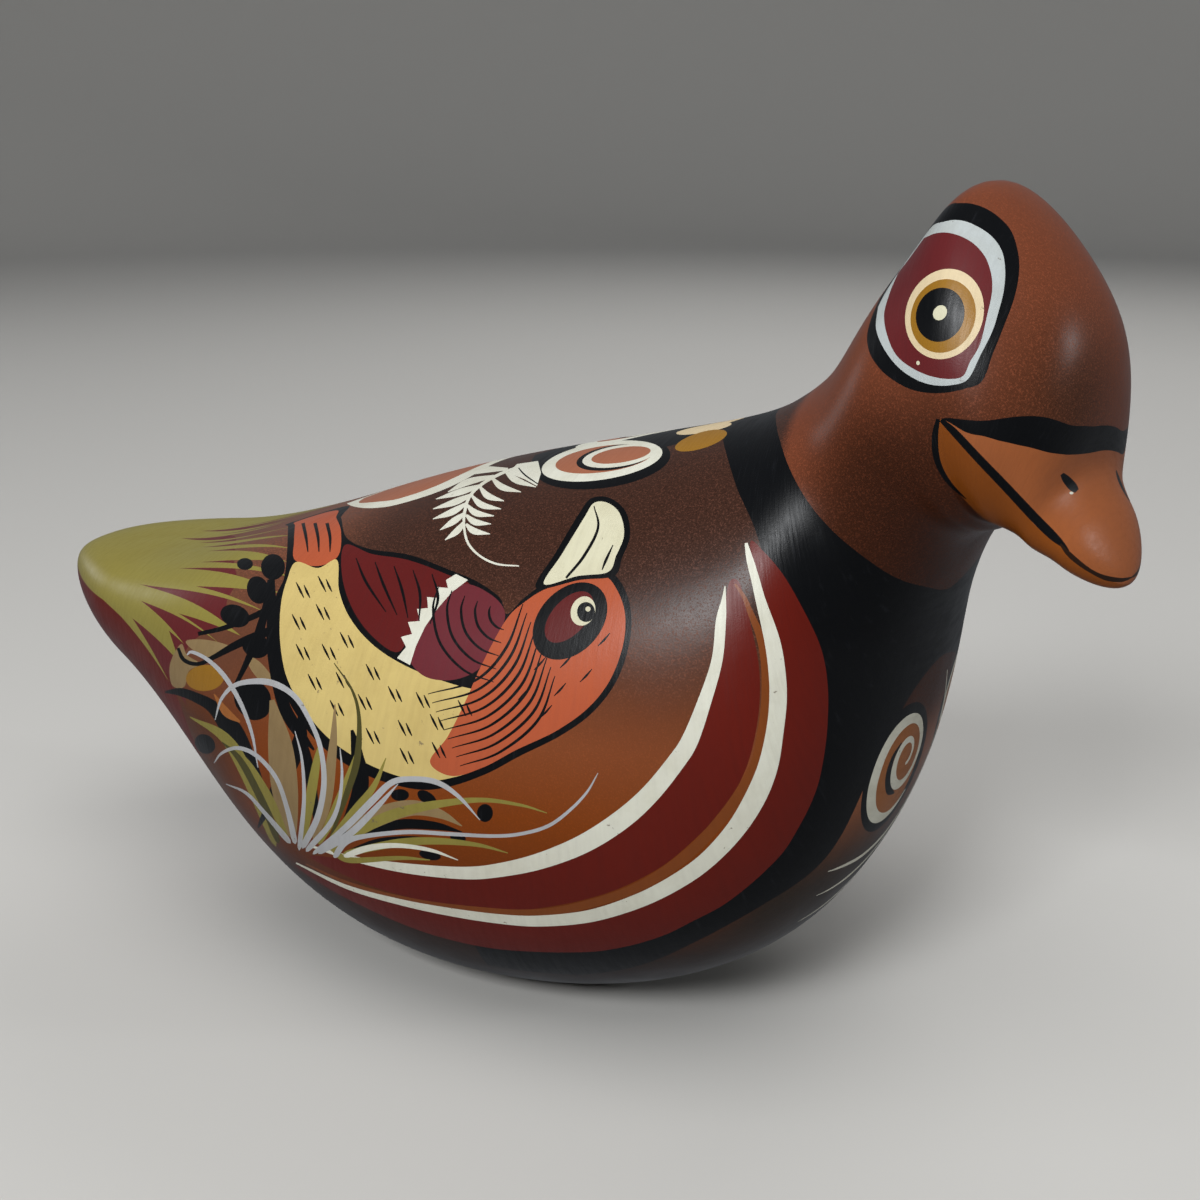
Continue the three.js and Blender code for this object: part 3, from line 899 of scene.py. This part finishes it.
def winding(points, outline):
    """Which points lie inside a closed outline, counting turns so that crossings don't matter."""
    ends = np.roll(outline, -1, axis=0)
    turns = np.zeros(len(points), int)
    for (x0, y0), (x1, y1) in zip(outline, ends):
        cross = (x1 - x0) * (points[:, 1] - y0) - (points[:, 0] - x0) * (y1 - y0)
        turns += ((y0 <= points[:, 1]) & (y1 > points[:, 1]) & (cross > 0)).astype(int)
        turns -= ((y0 > points[:, 1]) & (y1 <= points[:, 1]) & (cross < 0)).astype(int)
    return turns != 0


def grid_edges(rows, columns):
    """Index pairs along the four sides of a grid of points."""
    edges = []
    for row in range(rows - 1):
        for column in (0, columns - 1):
            edges.append((row * columns + column, (row + 1) * columns + column))
    for row in (0, rows - 1):
        for column in range(columns - 1):
            edges.append((row * columns + column, row * columns + column + 1))
    return edges


def flat_triangles(rings, dense, length):
    """The paint outlines and a plain grid, joined into one flat triangulation."""
    def to_flat(places):
        return np.stack([np.interp(places[:, 0], dense, length), places[:, 1] * DOMAIN_RADIUS], 1)

    angles = np.linspace(-math.pi, math.pi, ANGLE_STEPS + 1)
    grid = np.stack(np.meshgrid(rings, angles, indexing="ij"), -1).reshape(-1, 2)
    edges = grid_edges(len(rings), len(angles))
    outlines = [to_flat(places) for places, _ in LAYERS]
    count = len(grid)
    for outline in outlines:
        size = len(outline)
        edges.extend((count + k, count + (k + 1) % size) for k in range(size))
        count += size
    flat = [Vector(point) for point in np.vstack([to_flat(grid), *outlines]).tolist()]
    corners, _, faces, _, _, _ = delaunay_2d_cdt(flat, edges, [], 0, MERGE_FLAT, False)
    corners = np.array([tuple(corner) for corner in corners])
    faces = np.array([face for face in faces if len(face) == 3])
    middle = corners[faces].mean(1)
    across, around = middle.T
    inside = (np.abs(around) < math.pi * DOMAIN_RADIUS) & (across > 0) & (across < length[-1])
    return corners, faces[inside], middle[inside], outlines


def paint_of_faces(middle, outlines):
    """The topmost layer that covers the middle of each face, or -1."""
    owner = np.full(len(middle), -1)
    for index, outline in enumerate(outlines):
        low, high = outline.min(0), outline.max(0)
        near = np.where(((middle > low) & (middle < high)).all(1))[0]
        if len(near):
            owner[near[winding(middle[near], outline)]] = index
    return owner


def join_points(points, faces, owner):
    """Joins the seam under the belly and the ends, where many places are one point."""
    keys = np.round(points / MERGE_POINTS).astype(np.int64)
    _, first, joined = np.unique(keys, axis=0, return_index=True, return_inverse=True)
    triangles = joined.ravel()[faces]
    a, b, c = triangles.T
    good = (a != b) & (b != c) & (c != a)
    triangles, faces, owner = triangles[good], faces[good], owner[good]
    a, b, c = (points[first][triangles[:, k]] for k in range(3))
    if np.einsum("ij,ij->", a, np.cross(b, c)) < 0:
        triangles, faces = triangles[:, ::-1], faces[:, ::-1]
    return first, triangles, faces, owner


def colour_corners(mesh, faces, owner, ground, specks):
    """Writes each face corner's colour, and what kind of paint it has, into the mesh."""
    colours = np.ones((len(faces) * 3, 4))
    colours[:, :3] = ground[faces.ravel()]
    kinds = np.zeros((len(faces) * 3, 4))
    kinds[:, 0] = specks[faces.ravel()]
    owner_corner = np.repeat(owner, 3)
    for index, (_, (colour, kind)) in enumerate(LAYERS):
        if kind != GROUND:
            mine = owner_corner == index
            colours[mine, :3] = linear(colour)
            kinds[mine] = (0, kind == LIGHT, kind == DARK, 1)
    for name, values in (("paint", colours), ("kind", kinds)):
        layer = mesh.color_attributes.new(name, "FLOAT_COLOR", "CORNER")
        layer.data.foreach_set("color", values.ravel())


def make_skin():
    paint_all()
    rings, dense, length = ring_places()
    corners, faces, middle, outlines = flat_triangles(rings, dense, length)
    places = np.stack([np.interp(corners[:, 0], length, dense), corners[:, 1] / DOMAIN_RADIUS], 1)
    places[:, 1] = np.clip(places[:, 1], -math.pi, math.pi)
    points = surface(places[:, 0], places[:, 1])
    first, triangles, faces, owner = join_points(points, faces, paint_of_faces(middle, outlines))

    mesh = bpy.data.meshes.new("painted_bird")
    mesh.from_pydata(points[first].tolist(), [], triangles.tolist())
    mesh.polygons.foreach_set("use_smooth", np.ones(len(triangles), bool))
    colour_corners(mesh, faces, owner, *ground_colour(places, points))
    mesh.uv_layers.new(name="skin").data.foreach_set("uv", corners[faces.ravel()].ravel())
    mesh.normals_split_custom_set_from_vertices(surface_normals(places[first]).tolist())
    mesh.validate()
    bird = bpy.data.objects.new("painted_bird", mesh)
    bpy.context.scene.collection.objects.link(bird)
    return bird


def surface_normals(places):
    """Outward normals of the shape; the flat foot looks straight down."""
    nudge = 1e-3
    along = np.clip(places[:, 0], 4 * nudge, LAST - 4 * nudge)
    angle = places[:, 1]
    ahead = surface(along + nudge, angle, False) - surface(along - nudge, angle, False)
    around = surface(along, angle + nudge, False) - surface(along, angle - nudge, False)
    normal = np.cross(around, ahead)
    normal /= np.linalg.norm(normal, axis=1)[:, None] + 1e-12
    back, belly = (surface(along, np.full_like(along, turn), False) for turn in (0, math.pi))
    here = surface(along, angle, False)
    inward = np.einsum("ij,ij->i", normal, here - (back + belly) / 2) < 0
    normal[inward] *= -1
    normal[here[:, 2] <= 0] = (0, 0, -1)
    return normal


# Material of the painted, burnished clay

class Nodes:
    """Short names for building a node tree."""

    def __init__(self, material):
        material.use_nodes = True
        self.tree = material.node_tree
        self.shader = self.tree.nodes["Principled BSDF"]

    def feed(self, socket, value):
        """Links a socket to another one, or gives it a plain value."""
        if isinstance(value, bpy.types.NodeSocket):
            self.tree.links.new(value, socket)
        else:
            socket.default_value = value

    def node(self, kind, inputs=None, **settings):
        node = self.tree.nodes.new(kind)
        for name, value in settings.items():
            setattr(node, name, value)
        for name, value in (inputs or {}).items():
            self.feed(node.inputs[name], value)
        return node

    def math(self, operation, first, second):
        node = self.node("ShaderNodeMath", operation=operation)
        self.feed(node.inputs[0], first)
        self.feed(node.inputs[1], second)
        return node.outputs[0]

    def noise(self, coordinate, scale, detail=2.0, roughness=0.5):
        return self.node("ShaderNodeTexNoise", {"Vector": coordinate, "Scale": scale, "Detail": detail,
                                                "Roughness": roughness}).outputs["Fac"]

    def ramp(self, value, low, high):
        """0 below low, 1 above high."""
        node = self.node("ShaderNodeMapRange", {"Value": value, "From Min": low, "From Max": high})
        return node.outputs["Result"]

    def blend(self, first, second, share, mode="MIX"):
        node = self.node("ShaderNodeMix", data_type="RGBA", blend_type=mode)
        for index, value in ((0, share), (6, first), (7, second)):
            self.feed(node.inputs[index], value)
        return node.outputs[2]


def painted_clay():
    material = bpy.data.materials.new("painted_clay")
    n = Nodes(material)
    paint = n.node("ShaderNodeAttribute", attribute_name="paint").outputs["Color"]
    kind = n.node("ShaderNodeAttribute", attribute_name="kind").outputs
    split = n.node("ShaderNodeSeparateColor", {"Color": kind["Color"]}).outputs
    speckled, is_light, is_dark, is_painted = split[0], split[1], split[2], kind["Alpha"]
    place = n.node("ShaderNodeTexCoord").outputs["Object"]
    skin = n.node("ShaderNodeUVMap", uv_map="skin").outputs["UV"]
    around = n.node("ShaderNodeMapping", {"Vector": skin, "Scale": (1000, 140, 1)}).outputs["Vector"]

    # Sprayed specks on the ground: fine pale and dark dots, and faint clouds
    fine = n.noise(place, 3300, 1.0, 0.6)
    specks = n.math("MULTIPLY", n.ramp(fine, 0.52, 0.68), speckled)
    pits = n.math("MULTIPLY", n.ramp(n.noise(place, 2100, 1.0, 0.6), 0.54, 0.7), speckled)
    clouds = n.ramp(n.noise(place, 46, 3.0), 0.35, 0.7)
    colour = n.blend(paint, (2.6, 2.35, 2.25, 1), n.math("MULTIPLY", specks, 0.75), "MULTIPLY")
    colour = n.blend(colour, (0.45, 0.4, 0.4, 1), n.math("MULTIPLY", pits, 0.5), "MULTIPLY")
    colour = n.blend(colour, (0.82, 0.78, 0.76, 1), n.math("MULTIPLY", clouds, 0.4), "MULTIPLY")

    # Brush streaks in the flat colours
    streak = n.noise(around, 1.0, 3.0, 0.6)
    streaks = n.math("MULTIPLY", n.ramp(streak, 0.4, 0.7), is_painted)
    colour = n.blend(colour, (0.86, 0.85, 0.86, 1), n.math("MULTIPLY", streaks, 0.5), "MULTIPLY")
    dry = n.math("MULTIPLY", n.ramp(streak, 0.6, 0.75), is_dark)
    colour = n.blend(colour, (0.012, 0.013, 0.016, 1), n.math("MULTIPLY", dry, 0.4))

    # Small chips and dirt on the pale strokes
    chip = n.math("MULTIPLY", n.ramp(n.noise(place, 520, 4.0, 0.7), 0.67, 0.7), is_light)
    colour = n.blend(colour, (0.1, 0.075, 0.055, 1), n.math("MULTIPLY", chip, 0.7))
    dust = n.math("MULTIPLY", n.ramp(n.noise(place, 150, 4.0, 0.65), 0.45, 0.75), is_light)
    colour = n.blend(colour, (0.84, 0.82, 0.76, 1), n.math("MULTIPLY", dust, 0.6), "MULTIPLY")
    n.feed(n.shader.inputs["Base Color"], colour)

    wear = n.noise(place, 90, 4.0, 0.6)
    rough = n.math("ADD", n.math("MULTIPLY", wear, 0.2), 0.22)
    rough = n.math("ADD", rough, n.math("MULTIPLY", is_light, 0.08))
    rough = n.math("ADD", rough, n.math("MULTIPLY", specks, 0.15))
    rough = n.math("ADD", rough, n.math("MULTIPLY", streaks, 0.08))
    n.feed(n.shader.inputs["Roughness"], rough)
    n.shader.inputs["IOR"].default_value = 1.5
    n.shader.inputs["Specular IOR Level"].default_value = 0.16

    height = n.math("MULTIPLY", n.noise(place, 260, 2.0), 0.35)
    height = n.math("ADD", height, n.math("MULTIPLY", fine, 0.1))
    height = n.math("ADD", height, n.math("MULTIPLY", streaks, 0.07))
    height = n.math("ADD", height, n.math("MULTIPLY", n.math("MULTIPLY", streak, is_dark), 0.18))
    bump = n.node("ShaderNodeBump", {"Height": height, "Strength": 0.3, "Distance": 0.0004})
    n.feed(n.shader.inputs["Normal"], bump.outputs["Normal"])
    return material


make_camera()
make_floor()
make_lights()
bird = make_skin()
bird.data.materials.append(painted_clay())
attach(bird, "root")
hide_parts(NODE)
